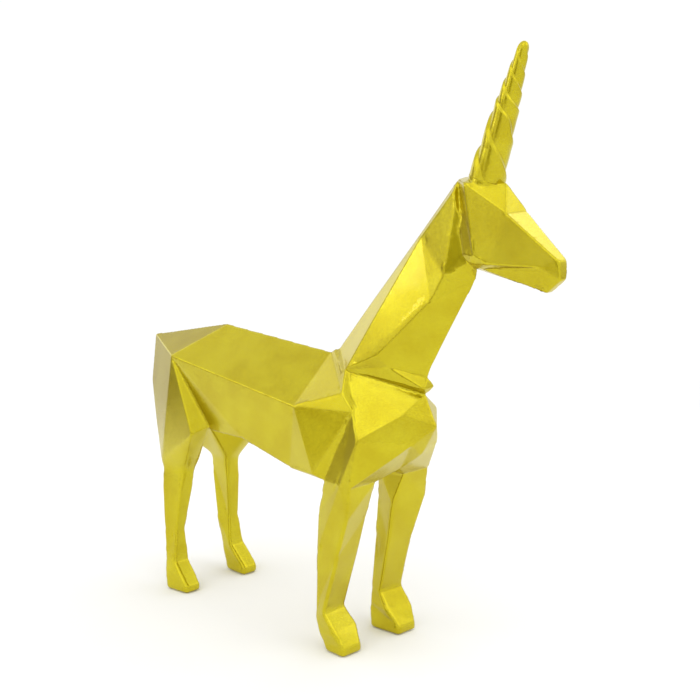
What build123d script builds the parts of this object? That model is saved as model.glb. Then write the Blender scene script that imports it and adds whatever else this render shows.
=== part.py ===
"""Faceted standing unicorn figurine: painted castings pinned together on steel rods.

The figure faces +X, its left side is +Y and +Z is up. Lengths are in millimetres. Corners are listed for one
side of the figure and mirrored in its centre plane.
"""
import os
from math import cos, pi, radians, sin, tan

from build123d import *

# Body: corners run forward from the tail root, outward from the centre plane and up from the leg joints.
BODY_LENGTH = 233.0
BODY_HALF_WIDTH = 31.0
BODY_DEPTH = 74.0
SHELL_WALL = 6.5
CAVITY_REAR_INSET = 8.0
CAVITY_FRONT_INSET = 6.0
BODY_SHARES = {
    "tail_root": (0.0, 0.0, 0.8),
    "tail_back": (-0.02, 0.0, 0.41),
    "tail_tip": (0.01, 0.0, 0.06),
    "crotch": (0.21, 0.0, 0.145),
    "croup": (0.3, 0.0, 1.0),
    "loin": (0.67, 0.0, 0.935),
    "withers": (0.7, 0.0, 0.98),
    "throat": (0.965, 0.0, 0.76),
    "breast": (1.0, 0.0, 0.55),
    "breast_under": (0.955, 0.0, 0.32),
    "chest_floor": (0.89, 0.0, 0.18),
    "girth_keel": (0.74, 0.0, 0.125),
    "belly_keel": (0.48, 0.0, 0.2),
    "hip": (0.21, 0.84, 0.755),
    "shoulder_back": (0.675, 0.95, 0.595),
    "collar_side": (0.78, 0.485, 0.88),
    "shoulder_top": (0.805, 0.755, 0.74),
    "shoulder_point": (0.845, 0.805, 0.63),
    "forearm_top": (0.88, 0.97, 0.455),
    "breast_side": (0.95, 0.42, 0.635),
    "breast_low": (0.965, 0.32, 0.42),
    "elbow_tip": (0.74, 0.97, 0.125),
    "elbow_mid": (0.83, 1.0, 0.1),
    "girth": (0.64, 0.81, 0.105),
    "flank_low": (0.465, 0.785, 0.225),
    "flank_fold": (0.33, 0.66, 0.2),
    "stifle": (0.325, 0.68, 0.23),
    "thigh_low": (0.305, 0.97, 0.17),
}

# Legs: each row is a section's rise as a share of the leg's length, then its four corners in order, each with its
# reach from the toe in hoof lengths and its place outward from the middle of the hoof in half hoof widths.
PAD_THICKNESS = 0.7
PAD_MARGIN = 0.8
LEG_LENGTH = 87.3
LEG_CORNERS = ("outer_front", "inner_front", "inner_rear", "outer_rear")
FORE_TOE_SHARE = 0.83
FORE_HALF_TRACK = 21.3
FORE_HOOF_LENGTH = 20.0
FORE_HOOF_WIDTH = 14.0
FORE_LEG_SHARES = {
    "root": (1.08, (0.35, 1.33), (0.35, -1.47), (-0.69, -1.24), (-0.75, 0.9)),
    "elbow": (0.87, (0.24, 1.33), (0.0, -1.69), (-0.82, -0.84), (-1.04, 0.74)),
    "cannon": (0.62, (-0.15, 1.26), (-0.24, -1.4), (-0.9, -0.86), (-0.97, 1.07)),
    "ankle": (0.25, (-0.6, 1.43), (-0.65, -1.14), (-1.07, -0.86), (-1.07, 0.96)),
    "coronet": (0.15, (-0.24, 1.33), (-0.3, -1.33), (-1.05, -0.93), (-1.06, 0.99)),
    "hoof": (0.05, (0.0, 1.01), (0.0, -0.93), (-1.02, -1.04), (-1.02, 0.96)),
    "sole": (0.0, (-0.02, 0.96), (-0.02, -0.87), (-0.97, -1.01), (-0.97, 0.87)),
}
HIND_TOE_SHARE = 0.259
HIND_HALF_TRACK = 23.0
HIND_HOOF_LENGTH = 17.0
HIND_HOOF_WIDTH = 11.0
HIND_LEG_SHARES = {
    "root": (0.84, (-0.45, -0.11), (-0.45, -2.09), (-1.54, -1.71), (-1.54, 0.25)),
    "cannon": (0.4, (-0.75, 0.25), (-0.76, -1.02), (-1.37, -1.31), (-1.37, 0.51)),
    "ankle": (0.19, (-0.67, 0.78), (-0.67, -1.18), (-1.22, -0.95), (-1.22, 0.75)),
    "hoof": (0.05, (-0.02, 0.84), (-0.02, -0.96), (-1.03, -0.91), (-1.03, 1.13)),
    "sole": (0.0, (-0.03, 0.8), (-0.03, -0.93), (-0.95, -0.84), (-0.95, 1.07)),
}
RAISED_HEEL_LENGTH = 7.0
RAISED_HEEL_HEIGHT = 14.0

# Neck: corners run forward, outward and up from the withers; the poll is the far end.
NECK_REACH = 81.6
NECK_HALF_WIDTH = 13.5
NECK_RISE = 94.2
NECK_SHARES = {
    "poll": (1.0, 0.0, 1.0),
    "poll_side": (1.05, 0.34, 0.98),
    "crest_side": (0.74, 0.22, 0.69),
    "gullet_side": (0.975, 0.58, 0.51),
    "jowl_seat": (1.205, 0.13, 0.74),
    "gullet": (1.135, 0.0, 0.465),
    "throat_seat": (1.255, 0.0, 0.635),
    "neck_side": (0.885, 0.67, 0.36),
    "neck_low_side": (0.5, 1.0, 0.035),
    "neck_front": (0.815, 0.0, 0.0),
    "collar_top": (0.775, 0.0, -0.08),
    "collar_edge": (0.56, 0.7, -0.035),
    "collar_front_side": (0.79, 0.3, -0.13),
    "collar_front": (0.79, 0.0, -0.13),
}

# Head: corners run forward, outward and up from the poll.
HEAD_LENGTH = 64.0
HEAD_HALF_WIDTH = 11.2
HEAD_DEPTH = 49.0
NAPE_LEAN_SHARE = 0.205
HEAD_SHARES = {
    "poll": (0.0, 0.0, 0.0),
    "horn_back": (0.135, 0.0, 0.045),
    "forelock": (0.47, 0.0, 0.0),
    "temple": (0.2, 1.0, -0.01),
    "brow": (0.57, 0.73, -0.275),
    "brow_mid": (0.57, 0.0, -0.275),
    "nostril": (1.0, 0.3, -0.695),
    "nose": (1.0, 0.0, -0.695),
    "cheek": (0.295, 0.955, -0.71),
    "jaw_side": (0.42, 0.86, -0.785),
    "jaw_front": (0.85, 0.44, -0.77),
    "lip_side": (1.01, 0.22, -0.875),
    "lip": (1.01, 0.0, -0.875),
    "chin_side": (0.88, 0.2, -1.02),
    "chin": (0.88, 0.0, -1.02),
    "jaw_under": (0.305, 0.45, -0.85),
    "rim_low": (0.215, 0.71, -0.8),
}
NAPE_SHARES = {"rim": (0.71, -0.715), "throat_latch": (0.0, -0.87)}

# Horn: three overlapping strands wind left-handed up a taper, tighter towards the tip, in leaning rounds.
HORN_LENGTH = 61.0
HORN_BASE_DIAMETER = 16.4
HORN_TIP_DIAMETER = 5.8
HORN_BELLY_SHARE = 0.24
HORN_TIP_CAP = 4.4
HORN_TIP_ROUND_SHARES = ((0.35, 0.92), (0.65, 0.72), (0.88, 0.42))
HORN_TILT_ANGLE = 17.5
HORN_STRANDS = 3
HORN_TURN_SHARES = (0.455, 0.73, 1.8)
HORN_STATIONS = 49
HORN_STRAND_SHARES = (0.82, 0.88, 0.93, 0.97, 1.0, 0.92)
HORN_LEAN_SHARE = 0.45
HORN_LEAN_START_SHARE = 0.2
HORN_LEAN_ANGLE = -105.0
HORN_SEAT_REACH = 18.5
HORN_SEAT_RISE = 3.2
HORN_SEAT_HEIGHT = 7.0

# Rods and pins, glued into bores with an even clearance all round.
GLUE_GAP = 0.1
LEG_ROD_DIAMETER = 4.0
LEG_ROD_GRIP = 22.0
FORE_ROD_FOOT = 26.0
HIND_ROD_FOOT = 30.0
NECK_ROD_DIAMETER = 6.0
NECK_ROD_GRIP = 26.0
HEAD_PIN_DIAMETER = 4.0
HEAD_PIN_GRIP = 13.0
HEAD_PIN_DROP = 22.0
HORN_PIN_DIAMETER = 4.0
HORN_PIN_GRIP = 18.0
SEAM_PIN_DIAMETER = 4.0
SEAM_PIN_LENGTH = 12.0
SEAM_PIN_SHARES = ((0.13, 0.63), (0.17, 0.34), (0.91, 0.63), (0.86, 0.32))

BODY_FACETS = (
    ("tail_root", "hip", "croup"),
    ("croup", "hip", "shoulder_back"),
    ("croup", "shoulder_back", "loin"),
    ("loin", "shoulder_back", "shoulder_top"),
    ("loin", "shoulder_top", "collar_side"),
    ("loin", "collar_side", "withers"),
    ("withers", "collar_side", "throat"),
    ("collar_side", "shoulder_top", "shoulder_point"),
    ("collar_side", "shoulder_point", "forearm_top"),
    ("collar_side", "forearm_top", "breast_side"),
    ("collar_side", "breast_side", "throat"),
    ("throat", "breast_side", "breast"),
    ("breast_side", "forearm_top", "breast_low"),
    ("breast_side", "breast_low", "breast"),
    ("breast", "breast_low", "breast_under"),
    ("shoulder_back", "shoulder_point", "shoulder_top"),
    ("shoulder_back", "elbow_tip", "shoulder_point"),
    ("shoulder_back", "girth", "elbow_tip"),
    ("shoulder_back", "flank_low", "girth"),
    ("shoulder_back", "hip", "flank_low"),
    ("hip", "flank_fold", "flank_low"),
    ("hip", "stifle", "flank_fold"),
    ("hip", "thigh_low", "stifle"),
    ("hip", "hind_root_outer_rear", "thigh_low"),
    ("tail_root", "tail_back", "hip"),
    ("tail_back", "hind_root_outer_rear", "hip"),
    ("tail_back", "tail_tip", "hind_root_outer_rear"),
    ("tail_tip", "hind_root_inner_rear", "hind_root_outer_rear"),
    ("tail_tip", "crotch", "hind_root_inner_rear"),
    ("crotch", "hind_root_inner_front", "hind_root_inner_rear"),
    ("crotch", "stifle", "hind_root_inner_front"),
    ("stifle", "hind_root_outer_front", "hind_root_inner_front"),
    ("stifle", "thigh_low", "hind_root_outer_front"),
    ("thigh_low", "hind_root_outer_rear", "hind_root_outer_front"),
    ("crotch", "flank_fold", "stifle"),
    ("crotch", "belly_keel", "flank_fold"),
    ("flank_fold", "belly_keel", "flank_low"),
    ("belly_keel", "girth_keel", "flank_low"),
    ("girth_keel", "girth", "flank_low"),
    ("girth_keel", "fore_root_inner_rear", "girth"),
    ("girth", "fore_root_inner_rear", "fore_root_outer_rear"),
    ("girth", "fore_root_outer_rear", "elbow_tip"),
    ("elbow_tip", "fore_root_outer_rear", "shoulder_point"),
    ("shoulder_point", "fore_root_outer_rear", "elbow_mid"),
    ("shoulder_point", "elbow_mid", "forearm_top"),
    ("forearm_top", "elbow_mid", "fore_root_outer_front"),
    ("forearm_top", "fore_root_outer_front", "breast_low"),
    ("breast_low", "fore_root_outer_front", "fore_root_inner_front"),
    ("breast_low", "fore_root_inner_front", "chest_floor"),
    ("breast_low", "chest_floor", "breast_under"),
    ("girth_keel", "chest_floor", "fore_root_inner_front"),
    ("girth_keel", "fore_root_inner_front", "fore_root_inner_rear"),
    ("fore_root_outer_rear", "fore_elbow_outer_rear", "elbow_mid"),
    ("elbow_mid", "fore_elbow_outer_rear", "fore_cannon_outer_rear"),
    ("elbow_mid", "fore_cannon_outer_rear", "fore_elbow_outer_front"),
    ("fore_elbow_outer_front", "fore_cannon_outer_rear", "fore_cannon_outer_front"),
    ("elbow_mid", "fore_elbow_outer_front", "fore_root_outer_front"),
)
NECK_FACETS = (
    ("withers", "collar_side", "crest_side"),
    ("withers", "crest_side", "poll"),
    ("collar_side", "neck_low_side", "neck_side"),
    ("collar_side", "neck_side", "crest_side"),
    ("crest_side", "neck_side", "gullet_side"),
    ("crest_side", "gullet_side", "poll_side"),
    ("crest_side", "poll_side", "poll"),
    ("gullet_side", "jowl_seat", "poll_side"),
    ("gullet_side", "throat_seat", "jowl_seat"),
    ("gullet_side", "gullet", "throat_seat"),
    ("poll", "poll_side", "jowl_seat"),
    ("poll", "jowl_seat", "throat_seat"),
    ("neck_side", "gullet", "gullet_side"),
    ("neck_side", "neck_front", "gullet"),
    ("neck_side", "neck_low_side", "neck_front"),
    ("neck_low_side", "collar_edge", "neck_front"),
    ("collar_edge", "collar_top", "neck_front"),
    ("collar_edge", "collar_front_side", "collar_top"),
    ("collar_front_side", "collar_front", "collar_top"),
    ("collar_front_side", "throat", "collar_front"),
    ("collar_side", "collar_edge", "neck_low_side"),
    ("collar_side", "collar_front_side", "collar_edge"),
    ("collar_side", "throat", "collar_front_side"),
    ("withers", "throat", "collar_side"),
)
HEAD_FACETS = (
    ("poll", "rim", "cheek"),
    ("poll", "cheek", "temple"),
    ("poll", "temple", "horn_back"),
    ("horn_back", "temple", "forelock"),
    ("temple", "brow", "forelock"),
    ("forelock", "brow", "brow_mid"),
    ("brow", "nostril", "nose"),
    ("brow", "nose", "brow_mid"),
    ("temple", "cheek", "brow"),
    ("cheek", "jaw_side", "brow"),
    ("brow", "jaw_side", "jaw_front"),
    ("brow", "jaw_front", "nostril"),
    ("rim", "rim_low", "cheek"),
    ("rim_low", "jaw_side", "cheek"),
    ("rim_low", "jaw_under", "jaw_side"),
    ("jaw_under", "jaw_front", "jaw_side"),
    ("jaw_under", "chin_side", "jaw_front"),
    ("jaw_front", "chin_side", "lip_side"),
    ("jaw_front", "lip_side", "nostril"),
    ("nostril", "lip_side", "lip"),
    ("nostril", "lip", "nose"),
    ("lip_side", "chin_side", "chin"),
    ("lip_side", "chin", "lip"),
    ("rim", "throat_latch", "rim_low"),
    ("rim_low", "throat_latch", "jaw_under"),
    ("jaw_under", "throat_latch", "chin"),
    ("jaw_under", "chin", "chin_side"),
    ("poll", "throat_latch", "rim"),
)


def scaled_corners(shares, origin, length, half_width, height):
    """Turn a table of shares into corner points on the right side, measured from an origin."""
    return {
        name: Vector(origin.X + x * length, origin.Y - y * half_width, origin.Z + z * height)
        for name, (x, y, z) in shares.items()
    }


def leg_corners(leg, shares, toe, half_track, hoof_length, hoof_width):
    """Name the four corners of each section of a leg."""
    corners = {}
    for row, (rise, *places) in shares.items():
        z = PAD_THICKNESS + rise * LEG_LENGTH
        for corner, (reach, width) in zip(LEG_CORNERS, places):
            x, y = toe + reach * hoof_length, half_track + width * hoof_width / 2
            corners[f"{leg}_{row}_{corner}"] = Vector(x, -y, z)
    return corners


def leg_facets(leg, rows):
    """Wrap a leg's sections in facets from one row to the next and close the sole."""
    facets = []
    for upper, lower in zip(rows, rows[1:]):
        for here, following in zip(LEG_CORNERS, LEG_CORNERS[1:] + LEG_CORNERS[:1]):
            top_here, top_next = f"{leg}_{upper}_{here}", f"{leg}_{upper}_{following}"
            low_here, low_next = f"{leg}_{lower}_{here}", f"{leg}_{lower}_{following}"
            if leg == "fore" and upper in ("root", "elbow") and here == "outer_rear":
                continue
            facets += [(top_here, top_next, low_here), (top_next, low_next, low_here)]
    sole = [f"{leg}_{rows[-1]}_{corner}" for corner in LEG_CORNERS]
    return facets + [(sole[0], sole[1], sole[2]), (sole[0], sole[2], sole[3])]


def closed_solid(facets):
    """Sew flat facets into one closed solid."""
    shell = Shell([Face(Wire.make_polygon(facet)) for facet in facets])
    solid = Solid(shell)
    return solid if solid.volume > 0 else Solid(-shell)


def faceted(corners, facets):
    """Close the listed facets and their mirror images in the centre plane into one solid."""
    placed = []
    for side in (1, -1):
        for facet in facets:
            placed.append([Vector(corners[name].X, side * corners[name].Y, corners[name].Z) for name in facet])
    return closed_solid(placed)


def kept_side(solid, plane, side):
    """Keep the part of a solid that lies on one side of a plane."""
    return split(solid, bisect_by=plane, keep=side).solids().sort_by(SortBy.VOLUME)[-1]


def rod(start, end, diameter):
    """A round rod between two points."""
    return Solid.make_cylinder(diameter / 2, (end - start).length, Plane(start, z_dir=end - start))


def bore(start, end, diameter):
    """The bore that a rod is glued into."""
    along = (end - start).normalized() * GLUE_GAP
    return rod(start - along, end + along, diameter + GLUE_GAP + GLUE_GAP)


def between(first, second, share=0.5):
    """The point part of the way from one corner to another."""
    return first + (second - first) * share


def cavity_section(reach, spine, edge, base):
    """One hollow cross-section of the barrel, a wall inside its spine, edge and belly corners."""
    outline = (
        (0, spine.Z - SHELL_WALL),
        (-edge.Y - SHELL_WALL, edge.Z - SHELL_WALL / 2),
        (-base.Y - SHELL_WALL, base.Z + SHELL_WALL),
        (base.Y + SHELL_WALL, base.Z + SHELL_WALL),
        (edge.Y + SHELL_WALL, edge.Z - SHELL_WALL / 2),
    )
    return Wire.make_polygon([Vector(reach, y, z) for y, z in outline])


def horn_ring(share, rise, narrowing):
    """The corners of one stranded round of the horn, turned, leaned and narrowed on the way to the tip."""
    taper = HORN_BASE_DIAMETER + (HORN_TIP_DIAMETER - HORN_BASE_DIAMETER) * share
    radius = narrowing * taper * (1 + HORN_BELLY_SHARE * share * (1 - share)) / 2
    start, even, tighter = HORN_TURN_SHARES
    turned = start + even * share + tighter * share * share
    lean = narrowing * radius * HORN_LEAN_SHARE * min(1, share / HORN_LEAN_START_SHARE)
    strands = HORN_STRAND_SHARES * HORN_STRANDS
    ring = []
    for index, reach in enumerate(strands):
        angle = 2 * pi * (index / len(strands) - turned)
        lift = lean * cos(angle - radians(HORN_LEAN_ANGLE))
        ring.append(Vector(radius * reach * cos(angle), radius * reach * sin(angle), rise + lift))
    return ring


def wound_horn():
    """The horn standing on its base, skinned with facets from ring to ring and closed at the tip."""
    shares = [station / (HORN_STATIONS - 1) for station in range(HORN_STATIONS)]
    rings = [horn_ring(share, share * HORN_LENGTH, 1) for share in shares]
    for rise, narrowing in HORN_TIP_ROUND_SHARES:
        rings.append(horn_ring(1, HORN_LENGTH + rise * HORN_TIP_CAP, narrowing))
    tip = Vector(0, 0, HORN_LENGTH + HORN_TIP_CAP)
    facets = [rings[0][::-1]]
    facets += [[here, following, tip] for here, following in zip(rings[-1], rings[-1][1:] + rings[-1][:1])]
    for low, high in zip(rings, rings[1:]):
        for here, following in zip(range(len(low)), [*range(1, len(low)), 0]):
            facets += [[low[here], low[following], high[here]], [low[following], high[following], high[here]]]
    return closed_solid(facets)


def hoof_pad(leg):
    """A thin pad under the sole of a leg, set in from the sole's edge."""
    sole = leg.faces().sort_by(Axis.Z)[0]
    inset = Face(sole.outer_wire().offset_2d(-PAD_MARGIN))
    return extrude(inset, amount=PAD_THICKNESS, dir=(0, 0, -1)).solid()


leg_joint = PAD_THICKNESS + LEG_LENGTH
fore_toe = FORE_TOE_SHARE * BODY_LENGTH
hind_toe = HIND_TOE_SHARE * BODY_LENGTH
body_corners = scaled_corners(BODY_SHARES, Vector(0, 0, leg_joint), BODY_LENGTH, BODY_HALF_WIDTH, BODY_DEPTH)
body_corners |= leg_corners(
    "fore", FORE_LEG_SHARES, fore_toe, FORE_HALF_TRACK, FORE_HOOF_LENGTH, FORE_HOOF_WIDTH
)
body_corners |= leg_corners(
    "hind", HIND_LEG_SHARES, hind_toe, HIND_HALF_TRACK, HIND_HOOF_LENGTH, HIND_HOOF_WIDTH
)
neck_corners = scaled_corners(NECK_SHARES, body_corners["withers"], NECK_REACH, NECK_HALF_WIDTH, NECK_RISE)
for shared in ("withers", "collar_side", "throat"):
    neck_corners[shared] = body_corners[shared]
poll = neck_corners["poll"]
head_corners = scaled_corners(HEAD_SHARES, poll, HEAD_LENGTH, HEAD_HALF_WIDTH, HEAD_DEPTH)
for name, (width, drop) in NAPE_SHARES.items():
    lean = -NAPE_LEAN_SHARE * drop * HEAD_LENGTH
    head_corners[name] = Vector(poll.X + lean, -width * HEAD_HALF_WIDTH, poll.Z + drop * HEAD_DEPTH)

# The whole skin is shaped as one, then parted at the leg joints and, for the trunk, along the centre plane.
fore_facets = leg_facets("fore", tuple(FORE_LEG_SHARES))
hind_facets = leg_facets("hind", tuple(HIND_LEG_SHARES))
body = faceted(body_corners, BODY_FACETS + tuple(fore_facets) + tuple(hind_facets))
joint_plane = Plane.XY.offset(leg_joint)
trunk = kept_side(body, joint_plane, Keep.TOP)
legs = split(body, bisect_by=joint_plane, keep=Keep.BOTTOM).solids()
rears, fores = (group.sort_by(Axis.Y) for group in (legs.sort_by(Axis.X)[:2], legs.sort_by(Axis.X)[2:]))
nodes = {
    "fore_leg_right": fores[0],
    "fore_leg_left": fores[1],
    "hind_leg_right": rears[0],
    "hind_leg_left": rears[1],
}
heel_run = fore_toe - FORE_HOOF_LENGTH + RAISED_HEEL_LENGTH
heel_plane = Plane((heel_run, 0, PAD_THICKNESS), x_dir=(0, 1, 0), z_dir=(RAISED_HEEL_HEIGHT, 0, RAISED_HEEL_LENGTH))
nodes["fore_leg_right"] = kept_side(nodes["fore_leg_right"], heel_plane, Keep.TOP)

nape_lean = NAPE_LEAN_SHARE * HEAD_LENGTH / HEAD_DEPTH
nape = Plane(poll, x_dir=(0, 1, 0), z_dir=(1, 0, nape_lean))
neck = kept_side(faceted(neck_corners, NECK_FACETS), nape, Keep.BOTTOM)
head = faceted(head_corners, HEAD_FACETS)
horn_foot = poll + Vector(HORN_SEAT_REACH, 0, HORN_SEAT_RISE)
horn_axis = Vector(tan(radians(HORN_TILT_ANGLE)), 0, 1).normalized()
horn_plane = Plane(horn_foot, x_dir=(0, 1, 0), z_dir=horn_axis)
seat_foot = horn_foot - horn_axis * HORN_SEAT_HEIGHT
head = (head + rod(seat_foot, horn_foot, HORN_BASE_DIAMETER)).solid()
horn = wound_horn().moved(horn_plane.location)

cavity_rear = body_corners["croup"].X + CAVITY_REAR_INSET
cavity_front = body_corners["loin"].X - CAVITY_FRONT_INSET
cavity = Solid.make_loft(
    [
        cavity_section(cavity_rear, body_corners["croup"], body_corners["hip"], body_corners["flank_fold"]),
        cavity_section(cavity_front, body_corners["loin"], body_corners["shoulder_back"], body_corners["girth"]),
    ],
    ruled=True,
)
trunk = trunk - cavity

rods = {}
for name, leg in (("fore", "fore_leg"), ("hind", "hind_leg")):
    ring = "ankle" if name == "fore" else "cannon"
    foot = between(body_corners[f"{name}_{ring}_outer_front"], body_corners[f"{name}_{ring}_inner_rear"])
    knee = between(body_corners[f"{name}_root_outer_front"], body_corners[f"{name}_root_inner_rear"])
    slope = (knee - foot) * (1 / (knee.Z - foot.Z))
    start = foot + slope * ((FORE_ROD_FOOT if name == "fore" else HIND_ROD_FOOT) - foot.Z)
    end = foot + slope * (leg_joint + LEG_ROD_GRIP - foot.Z)
    for side, sign in (("right", 1), ("left", -1)):
        ends = [Vector(point.X, sign * point.Y, point.Z) for point in (start, end)]
        rods[f"{leg}_rod_{side}"] = (f"{leg}_{side}", *ends, LEG_ROD_DIAMETER)
collar_mid = between(body_corners["withers"], body_corners["throat"])
neck_way = (between(neck_corners["crest_side"], neck_corners["gullet"]) - collar_mid)
neck_way = Vector(neck_way.X, 0, neck_way.Z).normalized() * NECK_ROD_GRIP
rods["neck_rod"] = ("neck", collar_mid - neck_way, collar_mid + neck_way + neck_way / 2, NECK_ROD_DIAMETER)
pin_mid = nape.origin + nape.y_dir * (HEAD_PIN_DROP if nape.y_dir.Z < 0 else -HEAD_PIN_DROP)
pin_way = nape.z_dir * HEAD_PIN_GRIP
rods["head_pin"] = ("head", pin_mid - pin_way, pin_mid + pin_way, HEAD_PIN_DIAMETER)
horn_way = horn_axis * HORN_PIN_GRIP
rods["horn_pin"] = ("horn", horn_foot - horn_way, horn_foot + horn_way, HORN_PIN_DIAMETER)
nodes |= {"neck": neck, "head": head, "horn": horn}
for name, (casting, start, end, diameter) in rods.items():
    hole = bore(start, end, diameter)
    nodes[casting] = (nodes[casting] - hole).solid()
    if name == "head_pin":
        nodes["neck"] = (nodes["neck"] - hole).solid()
    elif name == "horn_pin":
        nodes["head"] = (nodes["head"] - hole).solid()
    else:
        trunk = trunk - hole
    nodes[name] = rod(start, end, diameter)

seam_pins = []
for reach, rise in SEAM_PIN_SHARES:
    middle = Vector(reach * BODY_LENGTH, 0, leg_joint + rise * BODY_DEPTH)
    way = Vector(0, SEAM_PIN_LENGTH / 2, 0)
    seam_pins.append(rod(middle - way, middle + way, SEAM_PIN_DIAMETER))
    trunk = trunk - bore(middle - way, middle + way, SEAM_PIN_DIAMETER)
nodes["seam_pins"] = Compound(seam_pins)
nodes["trunk_left_half"] = kept_side(trunk, Plane.XZ, Keep.BOTTOM)
nodes["trunk_right_half"] = kept_side(trunk, Plane.XZ, Keep.TOP)
for leg in ("fore_leg_right", "fore_leg_left", "hind_leg_right", "hind_leg_left"):
    nodes[f"{leg}_pad"] = hoof_pad(nodes[leg])

# The origin is on the floor under the middle of the figure.
box = Compound(list(nodes.values())).bounding_box()
under_middle = Location((-(box.min.X + box.max.X) / 2, 0, 0))
os.makedirs("parts", exist_ok=True)
for name, shape in nodes.items():
    export_step(shape.moved(under_middle), f"parts/{name}.step")
    print(f"{name}: {shape.volume:.0f} cubic mm")
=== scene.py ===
"""Faceted unicorn figurine in gold flake lacquer, dressed around its packed castings."""
import logging
import math
from collections.abc import Sequence
from dataclasses import dataclass
from enum import Enum

import bmesh
import bpy
from mathutils import Matrix, Vector, noise
from mathutils.bvhtree import BVHTree
from mathutils.kdtree import KDTree


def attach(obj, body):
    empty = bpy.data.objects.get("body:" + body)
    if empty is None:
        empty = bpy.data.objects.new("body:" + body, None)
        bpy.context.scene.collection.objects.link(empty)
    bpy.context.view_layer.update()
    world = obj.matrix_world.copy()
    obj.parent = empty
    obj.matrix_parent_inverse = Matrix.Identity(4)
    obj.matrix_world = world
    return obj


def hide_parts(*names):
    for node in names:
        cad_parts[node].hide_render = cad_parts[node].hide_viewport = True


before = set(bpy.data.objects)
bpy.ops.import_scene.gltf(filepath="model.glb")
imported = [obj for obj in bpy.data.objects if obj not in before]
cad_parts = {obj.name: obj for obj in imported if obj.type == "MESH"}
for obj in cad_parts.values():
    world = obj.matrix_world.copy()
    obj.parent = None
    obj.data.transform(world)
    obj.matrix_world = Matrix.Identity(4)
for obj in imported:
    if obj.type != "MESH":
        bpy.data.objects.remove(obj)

Colour = tuple[float, float, float]
Point = tuple[float, float, float]

log = logging.getLogger("unicorn")
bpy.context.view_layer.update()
BODY = "root"
WHITE: Colour = (1.0, 1.0, 1.0)
MERGE_DISTANCE = 1e-6
SMOOTH_FACTOR = 0.5
# The colour sockets of a Mix node, which share their names with its other sockets.
MIX_FIRST, MIX_SECOND, MIX_RESULT = 6, 7, 2


class Slot(Enum):
    """The record's material slots."""

    GOLD = "gold_lacquer"
    STEEL = "steel"
    FELT = "felt"


Finishes = dict[Slot, bpy.types.Material]


class NodeGraph:
    """A node tree that is cleared and then filled by short calls."""

    def __init__(self, tree: bpy.types.NodeTree) -> None:
        """Clear the tree.

        Args:
            tree: The node tree of a material or world.
        """
        self.tree = tree
        tree.nodes.clear()

    def add(self, kind: str, settings: dict | None = None, **values: object) -> bpy.types.Node:
        """Add a node.

        Args:
            kind: The node's type name.
            settings: Values for the node's own properties.
            **values: Values for its input sockets, with spaces written as underscores.

        Returns:
            The new node.
        """
        node = self.tree.nodes.new(kind)
        for name, value in (settings or {}).items():
            setattr(node, name, value)
        for name, value in values.items():
            node.inputs[name.replace("_", " ")].default_value = value
        return node

    def join(self, source: bpy.types.NodeSocket, target: bpy.types.NodeSocket) -> None:
        """Link an output socket to an input socket."""
        self.tree.links.new(source, target)

    def operate(self, kind: str, operation: str, values: Sequence[object]) -> bpy.types.Node:
        """Add a Math or Vector Math node.

        Args:
            kind: The node's type name.
            operation: The node's operation.
            values: Its inputs in order, each a socket or a value.

        Returns:
            The new node.
        """
        node = self.add(kind, {"operation": operation})
        for place, value in enumerate(values):
            if isinstance(value, bpy.types.NodeSocket):
                self.join(value, node.inputs[place])
            else:
                node.inputs[place].default_value = value
        return node

    def maths(self, operation: str, *values: object) -> bpy.types.NodeSocket:
        """Add a Math node and return its output socket."""
        return self.operate("ShaderNodeMath", operation, values).outputs["Value"]

    def vectors(self, operation: str, *values: object) -> bpy.types.NodeSocket:
        """Add a Vector Math node and return its vector socket."""
        return self.operate("ShaderNodeVectorMath", operation, values).outputs["Vector"]

    def ramp(
        self, value: bpy.types.NodeSocket, start: float, end: float, low: float, high: float,
    ) -> bpy.types.NodeSocket:
        """Add a smooth ramp between two levels.

        Args:
            value: The socket that runs along the ramp.
            start: Where the ramp leaves the first level.
            end: Where it reaches the second.
            low: The first level.
            high: The second level.

        Returns:
            The ramp's output socket.
        """
        node = self.add("ShaderNodeMapRange", {"interpolation_type": "SMOOTHSTEP"})
        for name, number in (("From Min", start), ("From Max", end), ("To Min", low), ("To Max", high)):
            node.inputs[name].default_value = number
        self.join(value, node.inputs["Value"])
        return node.outputs["Result"]

    def mix(self, share: bpy.types.NodeSocket, first: Colour, second: Colour) -> bpy.types.NodeSocket:
        """Add a mix of two colours.

        Args:
            share: The socket with the second colour's share.
            first: The first colour.
            second: The second colour.

        Returns:
            The mix's output socket.
        """
        node = self.add("ShaderNodeMix", {"data_type": "RGBA"})
        node.inputs[MIX_FIRST].default_value = (*first, 1.0)
        node.inputs[MIX_SECOND].default_value = (*second, 1.0)
        self.join(share, node.inputs["Factor"])
        return node.outputs[MIX_RESULT]

    def speckle(self, scale: float, detail: float) -> bpy.types.NodeSocket:
        """Add noise on the piece's own coordinates.

        Args:
            scale: The noise's scale.
            detail: How many finer layers it has.

        Returns:
            The noise's output socket.
        """
        place = self.add("ShaderNodeTexCoord")
        node = self.add("ShaderNodeTexNoise", Scale=scale, Detail=detail)
        self.join(place.outputs["Object"], node.inputs["Vector"])
        return node.outputs["Fac"]

    def show(self, shader: bpy.types.Node) -> None:
        """Link a shader to the material's output."""
        output = self.add("ShaderNodeOutputMaterial")
        self.join(shader.outputs[0], output.inputs["Surface"])


def new_material(name: str) -> tuple[bpy.types.Material, NodeGraph]:
    """Make an empty node material.

    Args:
        name: The material's name.

    Returns:
        The material and its cleared node graph.
    """
    material = bpy.data.materials.new(name)
    material.use_nodes = True
    return material, NodeGraph(material.node_tree)


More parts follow.
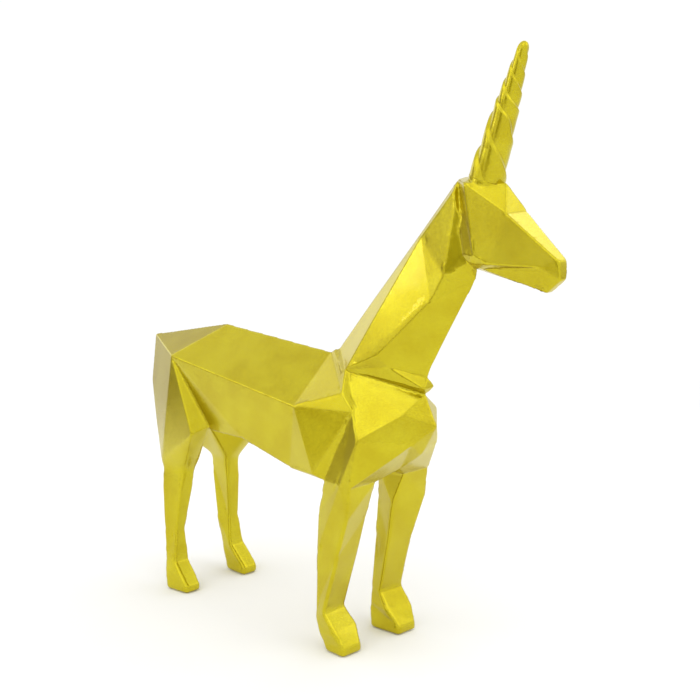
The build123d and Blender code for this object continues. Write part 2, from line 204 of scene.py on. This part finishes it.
def new_piece(name: str, mesh: bmesh.types.BMesh, finishes: Finishes, slot: Slot) -> bpy.types.Object:
    """Turn a bmesh into a smooth-shaded piece that rides on the figure.

    Args:
        name: The piece's name.
        mesh: The shape, in metres in the figure's frame. It is freed.
        finishes: The material of each slot.
        slot: The slot of the whole piece.

    Returns:
        The linked object.
    """
    data = bpy.data.meshes.new(name)
    for face in mesh.faces:
        face.smooth = True
    mesh.to_mesh(data)
    mesh.free()
    data.materials.append(finishes[slot])
    piece = bpy.data.objects.new(name, data)
    bpy.context.scene.collection.objects.link(piece)
    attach(piece, BODY)
    return piece


def through_modifier(mesh: bmesh.types.BMesh, kind: str, settings: dict) -> bmesh.types.BMesh:
    """Put a mesh through one of Blender's modifiers.

    Args:
        mesh: The shape. It is freed.
        kind: The modifier's type.
        settings: Values for the modifier's properties.

    Returns:
        The changed shape.
    """
    data = bpy.data.meshes.new("blank")
    mesh.to_mesh(data)
    mesh.free()
    blank = bpy.data.objects.new("blank", data)
    bpy.context.scene.collection.objects.link(blank)
    modifier = blank.modifiers.new(kind, kind)
    for name, value in settings.items():
        setattr(modifier, name, value)
    bpy.context.view_layer.update()
    changed = bmesh.new()
    changed.from_mesh(blank.evaluated_get(bpy.context.evaluated_depsgraph_get()).data)
    bpy.data.objects.remove(blank)
    bpy.data.meshes.remove(data)
    return changed


def smooth(mesh: bmesh.types.BMesh, verts: Sequence[bmesh.types.BMVert], rounds: int = 1) -> None:
    """Smooth some points of a mesh.

    Args:
        mesh: The shape.
        verts: The points to smooth.
        rounds: How often they are smoothed.
    """
    for _ in range(rounds):
        bmesh.ops.smooth_vert(
            mesh, verts=verts, factor=SMOOTH_FACTOR, use_axis_x=True, use_axis_y=True, use_axis_z=True,
        )


def heading(azimuth: float, elevation: float) -> Vector:
    """The direction at an azimuth from +X towards +Y and an elevation, both in degrees."""
    turn, rise = math.radians(azimuth), math.radians(elevation)
    return Vector((math.cos(turn) * math.cos(rise), math.sin(turn) * math.cos(rise), math.sin(rise)))


@dataclass(frozen=True)
class GoldLacquer:
    """Fine gold flake under a clear gloss coat."""

    deep: Colour = (0.49, 0.39, 0.004)
    bright: Colour = (0.63, 0.55, 0.018)
    cloud_size: float = 0.022
    cloud_detail: float = 2.0
    cloud_start: float = 0.3
    cloud_end: float = 0.7
    cloud_share: float = 0.45
    flake_size: float = 0.00035
    flake_middle: Point = (0.5, 0.5, 0.5)
    flake_tilt: float = 0.07
    metallic: float = 0.9
    roughness: float = 0.26
    coat_weight: float = 0.3
    coat_roughness: float = 0.07

    def material(self) -> bpy.types.Material:
        """Build the lacquer's material.

        Returns:
            The material, with flakes and clouds on the piece's own coordinates.
        """
        material, graph = new_material("gold_lacquer")
        shader = graph.add(
            "ShaderNodeBsdfPrincipled",
            Metallic=self.metallic,
            Roughness=self.roughness,
            Specular_IOR_Level=0.0,
            Coat_Weight=self.coat_weight,
            Coat_Roughness=self.coat_roughness,
        )
        place = graph.add("ShaderNodeTexCoord")
        flakes = graph.add("ShaderNodeTexVoronoi", Scale=1 / self.flake_size)
        graph.join(place.outputs["Object"], flakes.inputs["Vector"])
        graph.join(self.tint(graph, flakes.outputs["Color"]), shader.inputs["Base Color"])
        graph.join(self.tilted(graph, flakes.outputs["Color"]), shader.inputs["Normal"])
        graph.show(shader)
        return material

    def tint(self, graph: NodeGraph, flakes: bpy.types.NodeSocket) -> bpy.types.NodeSocket:
        """Vary the gold from flake to flake and in soft clouds.

        Args:
            graph: The material's node graph.
            flakes: The socket with each flake's own random colour.

        Returns:
            The socket with the gold.
        """
        parts = graph.add("ShaderNodeSeparateColor")
        graph.join(flakes, parts.inputs["Color"])
        clouds = graph.speckle(1 / self.cloud_size, self.cloud_detail)
        cloudy = graph.ramp(clouds, self.cloud_start, self.cloud_end, 0.0, self.cloud_share)
        flaky = graph.maths("MULTIPLY", parts.outputs["Red"], 1.0 - self.cloud_share)
        return graph.mix(graph.maths("ADD", cloudy, flaky), self.deep, self.bright)

    def tilted(self, graph: NodeGraph, flakes: bpy.types.NodeSocket) -> bpy.types.NodeSocket:
        """Tilt each flake a little off the surface.

        Args:
            graph: The material's node graph.
            flakes: The socket with each flake's own random colour.

        Returns:
            The socket with the flakes' normals.
        """
        lean = graph.vectors("SUBTRACT", flakes, self.flake_middle)
        tilt = graph.add("ShaderNodeVectorMath", {"operation": "SCALE"}, Scale=self.flake_tilt)
        graph.join(lean, tilt.inputs["Vector"])
        surface = graph.add("ShaderNodeNewGeometry")
        turned = graph.vectors("ADD", surface.outputs["Normal"], tilt.outputs["Vector"])
        return graph.vectors("NORMALIZE", turned)


@dataclass(frozen=True)
class DrawnSteel:
    """Plain drawn bar with a fine uneven gloss."""

    colour: Colour = (0.56, 0.56, 0.58)
    grain: float = 900.0
    grain_detail: float = 3.0
    smoothest: float = 0.25
    roughest: float = 0.45

    def material(self) -> bpy.types.Material:
        """Build the steel's material.

        Returns:
            The material, with a gloss that varies along the bar.
        """
        material, graph = new_material("drawn_steel")
        shader = graph.add("ShaderNodeBsdfPrincipled", Base_Color=(*self.colour, 1.0), Metallic=1.0)
        lines = graph.speckle(self.grain, self.grain_detail)
        gloss = graph.ramp(lines, 0.0, 1.0, self.smoothest, self.roughest)
        graph.join(gloss, shader.inputs["Roughness"])
        graph.show(shader)
        return material


@dataclass(frozen=True)
class PadFelt:
    """Thin matted felt under the hooves."""

    dark: Colour = (0.2, 0.15, 0.07)
    light: Colour = (0.32, 0.25, 0.12)
    fibre: float = 1400.0
    fibre_detail: float = 4.0
    roughness: float = 0.95

    def material(self) -> bpy.types.Material:
        """Build the felt's material.

        Returns:
            The material, mottled by its fibres.
        """
        material, graph = new_material("pad_felt")
        shader = graph.add("ShaderNodeBsdfPrincipled", Roughness=self.roughness)
        tint = graph.mix(graph.speckle(self.fibre, self.fibre_detail), self.dark, self.light)
        graph.join(tint, shader.inputs["Base Color"])
        graph.show(shader)
        return material


@dataclass
class WoundHorn:
    """The horn, three strands that wind left-handed up a taper in leaning rounds."""

    node: str = "horn"
    pin: str = "horn_pin"
    tilt: float = 18.5
    length: float = 0.061
    cap: float = 0.0044
    root: float = 0.0015
    base_radius: float = 0.0082
    tip_radius: float = 0.0029
    flare: float = 0.001
    flare_share: float = 0.22
    belly: float = 0.65
    strands: int = 3
    turn_start: float = 0.4375
    turn_even: float = 0.95
    turn_tighter: float = 0.85
    slack: float = 0.11
    slack_share: float = 0.49
    slack_width: float = 0.1
    lean: float = 0.1
    lean_start: float = 0.2
    lean_angle: float = -105.0
    groove_depth: float = 0.16
    ridge: float = 0.86
    rise_bend: float = 1.35
    fall_bend: float = 1.1
    around: int = 144
    rounds: int = 260

    def foot(self) -> Vector:
        """The centre of the horn's foot, which is the middle of its pin."""
        places = zip(*(vert.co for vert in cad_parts[self.pin].data.vertices))
        return Vector([(min(values) + max(values)) / 2 for values in places])

    def axis(self) -> Vector:
        """The direction from the horn's foot to its tip."""
        return Vector((math.sin(math.radians(self.tilt)), 0.0, math.cos(math.radians(self.tilt))))

    def stance(self) -> Matrix:
        """The turn from the horn's own axes to the figure's."""
        across, rise = Vector((0.0, 1.0, 0.0)), self.axis()
        return Matrix((across, rise.cross(across), rise)).transposed()

    def strand_reach(self, angle: float, turned: float) -> float:
        """The outline of the strands at one height.

        Args:
            angle: The angle round the horn.
            turned: How far the strands have turned at this height, in turns.

        Returns:
            The radius as a share of the full radius.
        """
        share = (self.strands * (angle / math.tau + turned)) % 1.0
        if share < self.ridge:
            sunk = (1.0 - share / self.ridge) ** self.rise_bend
        else:
            sunk = ((share - self.ridge) / (1.0 - self.ridge)) ** self.fall_bend
        return 1.0 - self.groove_depth * sunk

    def place(self, height: float, angle: float) -> Vector:
        """The place of one point of the horn's surface in its own axes.

        Args:
            height: The point's height over the foot, before the rounds lean.
            angle: Its angle round the horn.

        Returns:
            The point.
        """
        share = min(1.0, height / self.length)
        capped = max(0.0, (height - self.length) / self.cap)
        narrowing = math.sqrt(max(0.0, 1.0 - capped * capped))
        taper = self.base_radius + (self.tip_radius - self.base_radius) * share
        taper += self.flare * max(0.0, 1.0 - max(0.0, share) / self.flare_share)
        radius = narrowing * taper * (1.0 + self.belly * max(0.0, share) * (1.0 - share))
        turned = self.turn_start + self.turn_even * share + self.turn_tighter * max(0.0, share) * share
        turned -= self.slack * math.exp(-(((share - self.slack_share) / self.slack_width) ** 2))
        lean = narrowing * radius * self.lean * max(0.0, min(1.0, share / self.lean_start))
        reach = radius * self.strand_reach(angle, turned)
        lift = lean * math.cos(angle - math.radians(self.lean_angle))
        return Vector((reach * math.cos(angle), reach * math.sin(angle), height + lift))

    def build(self, finishes: Finishes) -> bpy.types.Object:
        """Wind the horn.

        Args:
            finishes: The material of each slot.

        Returns:
            The horn, which replaces its plain solid.
        """
        mesh = bmesh.new()
        ring = bmesh.ops.create_circle(mesh, segments=self.around, radius=self.base_radius)["verts"]
        edges = list(mesh.edges)
        full = self.root + self.length + self.cap
        step = Vector((0.0, 0.0, full / self.rounds))
        bmesh.ops.spin(
            mesh, geom=ring + edges, cent=(0, 0, 0), axis=(0, 0, 1), dvec=step, angle=0.0,
            steps=self.rounds, use_merge=False, use_duplicate=False,
        )
        foot, stance = self.foot(), self.stance()
        for vert in mesh.verts:
            angle = math.atan2(vert.co.y, vert.co.x)
            vert.co = foot + stance @ self.place(vert.co.z - self.root, angle)
        bmesh.ops.remove_doubles(mesh, verts=mesh.verts, dist=MERGE_DISTANCE)
        open_edges = [edge for edge in mesh.edges if edge.is_boundary]
        bmesh.ops.holes_fill(mesh, edges=open_edges, sides=0)
        bmesh.ops.recalc_face_normals(mesh, faces=mesh.faces)
        piece = new_piece("wound_horn", mesh, finishes, Slot.GOLD)
        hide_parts(self.node)
        return piece


@dataclass(frozen=True)
class FacetEdge:
    """A straight edge between two facets."""

    start: Vector
    end: Vector
    first: Vector
    second: Vector
    convex: bool

    def rounded(self, place: Vector, radius: float, corner: float, most: float) -> Vector:
        """Draw a point near the edge to an even rounding.

        Args:
            place: The point.
            radius: The rounding's radius.
            corner: How far from the edge's ends the rounding sets in.
            most: The farthest that a point is drawn.

        Returns:
            The point on the rounding or on one of the two facets.
        """
        along = (self.end - self.start).normalized()
        reach = (place - self.start).dot(along)
        share = min(1.0, min(reach, (self.end - self.start).length - reach) / corner)
        if share <= 0.0:
            return place
        line = self.start + along * reach
        off = place - line
        side = 1.0 if self.convex else -1.0
        turn = self.first.dot(self.second)
        centre = (self.first + self.second) * (-side * radius / (1.0 + turn))
        arm = off - centre
        if side * (arm.dot(self.first) - turn * arm.dot(self.second)) < 0.0:
            drawn = off - self.second * off.dot(self.second)
        elif side * (arm.dot(self.second) - turn * arm.dot(self.first)) < 0.0:
            drawn = off - self.first * off.dot(self.first)
        else:
            drawn = centre + arm.normalized() * radius
        share *= max(0.0, 1.0 - ((drawn - off).length / most) ** 2)
        return line + off.lerp(drawn, share)


@dataclass
class CastSkin:
    """The painted castings, filled over at their joints and with their facet edges rounded."""

    horn: WoundHorn
    castings: tuple[str, ...] = (
        "trunk_right_half", "trunk_left_half", "neck", "head",
        "fore_leg_right", "fore_leg_left", "hind_leg_right", "hind_leg_left",
    )
    grain: float = 0.0007
    rounds: int = 6
    leg_rounds: int = 8
    flat: float = 1.0
    crease: float = 5.0
    probe: float = 0.0006
    edge_radius: float = 0.0006
    leg_radius: float = 0.0014
    leg_top: float = 0.085
    thigh_bottom: float = 0.062
    thigh_top: float = 0.094
    thigh_front: float = -0.03
    thigh_rounds: int = 60
    hoof_top: float = 0.022
    hoof_slope: float = 2.0
    hoof_swell: float = 0.0008
    hoof_rounds: int = 5
    edge_reach: float = 0.003
    edge_overlap: float = 1.2
    edge_corner: float = 0.003
    edge_most: float = 0.0009
    wave_length: float = 0.04
    wave_height: float = 0.0003
    sole_top: float = 0.005
    sole_bottom: float = 0.001
    sole_drop: float = 0.0006
    sole_flare: float = 0.0005
    seat_depth: float = 0.0015
    seat_step: float = 0.001
    seat_radius: float = 0.0087
    seat_narrowing: float = 0.78
    triangles: int = 190000

    def build(self, finishes: Finishes) -> bpy.types.Object:
        """Join the castings into one skin.

        Args:
            finishes: The material of each slot.

        Returns:
            The skin, which replaces the castings.
        """
        joined = bmesh.new()
        for name in self.castings:
            joined.from_mesh(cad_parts[name].data)
        bmesh.ops.remove_doubles(joined, verts=joined.verts, dist=MERGE_DISTANCE)
        skin = through_modifier(joined.copy(), "REMESH", {"mode": "VOXEL", "voxel_size": self.grain})
        edges = self.facet_edges(joined, BVHTree.FromBMesh(skin))
        joined.free()
        self.soften(skin)
        self.round_edges(skin, edges)
        self.blend_thighs(skin)
        self.set_horn_in(skin)
        self.press_soles(skin)
        self.ripple(skin)
        bmesh.ops.triangulate(skin, faces=skin.faces)
        skin = through_modifier(skin, "DECIMATE", {"ratio": self.triangles / len(skin.faces)})
        piece = new_piece("cast_skin", skin, finishes, Slot.GOLD)
        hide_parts(*self.castings)
        return piece

    def facet_edges(self, joined: bmesh.types.BMesh, surface: BVHTree) -> list[FacetEdge]:
        """Find the straight edges between the facets that show.

        Args:
            joined: The castings' facets. Flat ones are joined.
            surface: The skin over them.

        Returns:
            The edges, without those of the joints that the skin covers.
        """
        flat = math.radians(self.flat)
        bmesh.ops.dissolve_limit(joined, angle_limit=flat, verts=joined.verts, edges=joined.edges)
        found = []
        for edge in joined.edges:
            start, end = (vert.co.copy() for vert in edge.verts)
            middle = (start + end) / 2
            shown = []
            for face in edge.link_faces:
                point = middle + face.normal * self.probe
                place, normal, _, distance = surface.find_nearest(point)
                if distance > self.probe / 2 and (point - place).dot(normal) > 0.0:
                    shown.append(face)
            if len(shown) == 2 and shown[0].normal.angle(shown[1].normal) > math.radians(self.crease):
                first, second = (face.normal.copy() for face in shown)
                convex = (shown[1].calc_center_median() - middle).dot(first) < 0.0
                found.append(FacetEdge(start, end, first, second, convex))
        return found

    def soften(self, skin: bmesh.types.BMesh) -> None:
        """Smooth the skin over the joints and corners, more on the legs than on the body.

        Args:
            skin: The skin.
        """
        legs = [vert for vert in skin.verts if vert.co.z < self.leg_top]
        smooth(skin, skin.verts, self.rounds)
        smooth(skin, legs, self.leg_rounds)

    def round_edges(self, skin: bmesh.types.BMesh, edges: list[FacetEdge]) -> None:
        """Draw the skin to an even rounding along each facet edge, a wider one on the legs.

        Args:
            skin: The skin.
            edges: The facet edges.
        """
        skin.verts.ensure_lookup_table()
        tree = KDTree(len(skin.verts))
        for vert in skin.verts:
            tree.insert(vert.co, vert.index)
        tree.balance()
        for edge in edges:
            steps = 1 + int((edge.end - edge.start).length / self.edge_reach)
            near = set()
            for step in range(steps + 1):
                point = edge.start.lerp(edge.end, step / steps)
                near.update(found[1] for found in tree.find_range(point, self.edge_overlap * self.edge_reach))
            radius = self.leg_radius if edge.start.z + edge.end.z < 2 * self.leg_top else self.edge_radius
            for index in near:
                vert = skin.verts[index]
                vert.co = edge.rounded(vert.co, radius, self.edge_corner, self.edge_most)

    def blend_thighs(self, skin: bmesh.types.BMesh) -> None:
        """Smooth the thighs into the hind legs, where the photograph shows no edge.

        Args:
            skin: The skin.
        """
        hind = [vert for vert in skin.verts if vert.co.x < self.thigh_front]
        middle = (self.thigh_top + self.thigh_bottom) / 2
        for step in range(self.thigh_rounds):
            reach = (1.0 - step / self.thigh_rounds) * (self.thigh_top - middle)
            band = [vert for vert in hind if abs(vert.co.z - middle) < reach]
            smooth(skin, band)

    def set_horn_in(self, skin: bmesh.types.BMesh) -> None:
        """Narrow the seat under the horn, so that the strands run down to the head.

        Args:
            skin: The skin.
        """
        foot, axis = self.horn.foot(), self.horn.axis()
        for vert in skin.verts:
            height = (vert.co - foot).dot(axis)
            centre = foot + axis * height
            if height > -self.seat_depth and (vert.co - centre).length < self.seat_radius:
                share = min(1.0, (height + self.seat_depth) / self.seat_step)
                vert.co = vert.co.lerp(centre, share * (1.0 - self.seat_narrowing))

    def press_soles(self, skin: bmesh.types.BMesh) -> None:
        """Fill the hooves out, let their soles down round the thin pads and flare the soles' edges.

        Args:
            skin: The skin.
        """
        hooves = [vert for vert in skin.verts if vert.co.z < self.hoof_top]
        smooth(skin, hooves, self.hoof_rounds)
        skin.normal_update()
        for vert in hooves:
            outward = Vector((vert.normal.x, vert.normal.y, 0.0))
            fill = min(1.0, self.hoof_slope * (1.0 - vert.co.z / self.hoof_top))
            vert.co += outward * fill * self.hoof_swell
            share = min(1.0, (self.sole_top - vert.co.z) / (self.sole_top - self.sole_bottom))
            if share > 0.0:
                vert.co += share * (outward * self.sole_flare - Vector((0.0, 0.0, self.sole_drop)))

    def ripple(self, skin: bmesh.types.BMesh) -> None:
        """Give the facets the slight waves of a hand-finished casting.

        Args:
            skin: The skin.
        """
        skin.normal_update()
        for vert in skin.verts:
            if vert.co.z > self.sole_top:
                wave = self.wave_height * noise.noise(vert.co / self.wave_length)
                vert.co += vert.normal * wave


@dataclass
class HiddenPieces:
    """The rods and pins inside the castings, and the pads under the hooves."""

    rods: tuple[str, ...] = (
        "neck_rod", "head_pin", "horn_pin", "seam_pins",
        "fore_leg_rod_right", "fore_leg_rod_left", "hind_leg_rod_right", "hind_leg_rod_left",
    )
    pads: tuple[str, ...] = (
        "fore_leg_right_pad", "fore_leg_left_pad", "hind_leg_right_pad", "hind_leg_left_pad",
    )

    def dress(self, finishes: Finishes) -> None:
        """Give the rods their steel and the pads their felt.

        Args:
            finishes: The material of each slot.
        """
        for names, slot in ((self.rods, Slot.STEEL), (self.pads, Slot.FELT)):
            for name in names:
                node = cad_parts[name]
                node.data.materials.clear()
                node.data.materials.append(finishes[slot])
                log.info("%s: %s", name, finishes[slot].name)


@dataclass(frozen=True)
class Glow:
    """A soft patch of the tent that is brighter or, with a level below zero, dimmer than the rest."""

    azimuth: float
    elevation: float
    inner: float
    outer: float
    level: float


@dataclass(frozen=True)
class Gap:
    """A dim stretch of the horizon, where the tent ends over the table's edge."""

    azimuth: float
    inner: float
    outer: float
    level: float


@dataclass(frozen=True)
class SoftBox:
    """A square lamp that faces the figure."""

    name: str
    azimuth: float
    elevation: float
    distance: float
    size: float
    level: float


@dataclass
class Studio:
    """A white table in a bright tent with brighter and dimmer patches, warm where it is dim."""

    floor_size: float = 1.6
    floor_sides: int = 96
    fade_start: float = 0.35
    fade_end: float = 0.75
    floor_colour: Colour = (0.92, 0.92, 0.92)
    tent_level: float = 1.02
    dim_colour: Colour = (1.0, 0.84, 0.5)
    dim_level: float = 0.25
    glows: tuple[Glow, ...] = (
        Glow(-135.0, 14.0, 5.0, 16.0, 0.45),
        Glow(-103.0, 50.0, 8.0, 22.0, 0.65),
        Glow(-65.0, 58.0, 8.0, 20.0, 0.3),
        Glow(-75.0, 34.0, 8.0, 22.0, 0.45),
        Glow(15.0, 42.0, 10.0, 30.0, 0.8),
        Glow(60.0, 24.0, 4.0, 14.0, 0.8),
        Glow(94.0, 38.0, 6.0, 20.0, 0.6),
        Glow(172.0, 5.0, 4.0, 14.0, 0.4),
        Glow(-112.0, 72.0, 5.0, 13.0, 0.8),
        Glow(-111.0, -4.0, 3.0, 10.0, 0.5),
        Glow(-149.0, 1.0, 3.0, 9.0, 0.3),
        Glow(158.0, 20.0, 5.0, 16.0, -0.35),
        Glow(-167.0, 46.0, 2.0, 9.0, -0.2),
        Glow(-162.0, -4.0, 7.0, 20.0, -0.3),
        Glow(-96.0, -3.0, 6.0, 14.0, -0.4),
        Glow(-165.0, 4.0, 4.0, 12.0, -0.35),
        Glow(-126.0, -11.0, 3.0, 10.0, -0.35),
        Glow(-164.0, -19.0, 5.0, 14.0, -0.35),
        Glow(164.0, -11.0, 5.0, 14.0, -0.3),
        Glow(-90.0, -12.0, 6.0, 18.0, -0.25),
    )
    gaps: tuple[Gap, ...] = (
        Gap(-138.0, 46.0, 58.0, 0.3),
        Gap(50.0, 20.0, 40.0, 0.35),
    )
    gap_rise: float = -0.16
    gap_inner: float = 0.07
    gap_outer: float = 0.19
    boxes: tuple[SoftBox, ...] = (
        SoftBox("neck_box", -135.0, 13.0, 1.1, 0.14, 3.5),
        SoftBox("shoulder_box", 177.0, 34.0, 1.1, 0.2, 0.6),
        SoftBox("nose_box", 94.0, 38.0, 1.1, 0.2, 1.6),
    )
    aim: Point = (0.0, 0.0, 0.15)

    def build(self) -> None:
        """Lay the floor and set the tent and the lamps."""
        self.lay_floor()
        self.set_tent()
        for box in self.boxes:
            self.hang(box)

    def lay_floor(self) -> None:
        """Make a white disc that fades into the tent round the figure."""
        mesh = bmesh.new()
        bmesh.ops.create_circle(mesh, cap_ends=True, segments=self.floor_sides, radius=self.floor_size)
        data = bpy.data.meshes.new("floor")
        mesh.to_mesh(data)
        mesh.free()
        floor = bpy.data.objects.new("floor", data)
        bpy.context.scene.collection.objects.link(floor)
        material, graph = new_material("white_table")
        place = graph.add("ShaderNodeTexCoord")
        reach = graph.add("ShaderNodeVectorMath", {"operation": "LENGTH"})
        graph.join(place.outputs["Object"], reach.inputs[0])
        fade = graph.ramp(reach.outputs["Value"], self.fade_start, self.fade_end, 0.0, 1.0)
        matt = graph.add("ShaderNodeBsdfDiffuse", Color=(*self.floor_colour, 1.0))
        clear = graph.add("ShaderNodeBsdfTransparent")
        blend = graph.add("ShaderNodeMixShader")
        graph.join(fade, blend.inputs[0])
        graph.join(matt.outputs["BSDF"], blend.inputs[1])
        graph.join(clear.outputs["BSDF"], blend.inputs[2])
        graph.show(blend)
        data.materials.append(material)

    def set_tent(self) -> None:
        """Light the surroundings with the tent, its patches and its dim horizon."""
        world = bpy.data.worlds.new("tent")
        world.use_nodes = True
        bpy.context.scene.world = world
        graph = NodeGraph(world.node_tree)
        place = graph.add("ShaderNodeTexCoord").outputs["Generated"]
        level = self.tent_level
        for glow in self.glows:
            patch = self.patch(graph, place, glow, glow.elevation)
            level = graph.maths("ADD", level, patch)
        parts = graph.add("ShaderNodeSeparateXYZ")
        graph.join(place, parts.inputs["Vector"])
        off_horizon = graph.maths("ABSOLUTE", graph.maths("SUBTRACT", parts.outputs["Z"], self.gap_rise))
        horizon = graph.ramp(off_horizon, self.gap_inner, self.gap_outer, 1.0, 0.0)
        for gap in self.gaps:
            dimmed = graph.maths("MULTIPLY", horizon, self.patch(graph, place, gap, 0.0))
            level = graph.maths("SUBTRACT", level, dimmed)
        tint = graph.mix(graph.ramp(level, self.dim_level, 1.0, 0.0, 1.0), self.dim_colour, WHITE)
        tent = graph.add("ShaderNodeBackground")
        graph.join(tint, tent.inputs["Color"])
        graph.join(level, tent.inputs["Strength"])
        output = graph.add("ShaderNodeOutputWorld")
        graph.join(tent.outputs["Background"], output.inputs["Surface"])

    def patch(
        self, graph: NodeGraph, place: bpy.types.NodeSocket, spot: Glow | Gap, elevation: float,
    ) -> bpy.types.NodeSocket:
        """Add one soft round patch of the tent.

        Args:
            graph: The tent's node graph.
            place: The socket with the direction.
            spot: The patch's azimuth, spread and level.
            elevation: The elevation of its middle.

        Returns:
            The socket with the patch's level, which is nought outside it.
        """
        way = heading(spot.azimuth, elevation)
        facing = graph.operate("ShaderNodeVectorMath", "DOT_PRODUCT", (place, way)).outputs["Value"]
        outer, inner = math.cos(math.radians(spot.outer)), math.cos(math.radians(spot.inner))
        return graph.ramp(facing, outer, inner, 0.0, spot.level)

    def hang(self, box: SoftBox) -> None:
        """Hang a softbox so that it faces the figure.

        Args:
            box: The softbox's place, size and level.
        """
        data = bpy.data.lights.new(box.name, "AREA")
        data.size = box.size
        data.energy = box.level * math.pi * box.size * box.size
        lamp = bpy.data.objects.new(box.name, data)
        bpy.context.scene.collection.objects.link(lamp)
        way = heading(box.azimuth, box.elevation)
        lamp.location = Vector(self.aim) + way * box.distance
        lamp.rotation_euler = way.to_track_quat("Z", "Y").to_euler()


@dataclass
class PhotoCamera:
    """The camera at the photograph's viewing angle."""

    place: Point = (0.53768, -0.52257, 0.30262)
    azimuth: float = -45.17
    elevation: float = 10.95
    focal_length: float = 72.0
    film_width: float = 36.0

    def build(self) -> None:
        """Set the camera up and make it the scene's camera."""
        data = bpy.data.cameras.new("photo_camera")
        data.lens = self.focal_length
        data.sensor_width = self.film_width
        camera = bpy.data.objects.new("photo_camera", data)
        bpy.context.scene.collection.objects.link(camera)
        camera.location = self.place
        camera.rotation_euler = heading(self.azimuth, self.elevation).to_track_quat("Z", "Y").to_euler()
        bpy.context.scene.camera = camera


def write_sizes() -> None:
    """Bring the scene's placements up to date."""
    bpy.context.view_layer.update()


def main() -> None:
    """Dress the figure and set up the studio."""
    logging.basicConfig(level=logging.INFO)
    bpy.context.scene.view_settings.view_transform = "Standard"
    finishes = {
        Slot.GOLD: GoldLacquer().material(),
        Slot.STEEL: DrawnSteel().material(),
        Slot.FELT: PadFelt().material(),
    }
    horn = WoundHorn()
    for piece in (CastSkin(horn).build(finishes), horn.build(finishes)):
        log.info("%s: %d faces", piece.name, len(piece.data.polygons))
    HiddenPieces().dress(finishes)
    Studio().build()
    PhotoCamera().build()
    write_sizes()


if __name__ == "__main__":
    main()
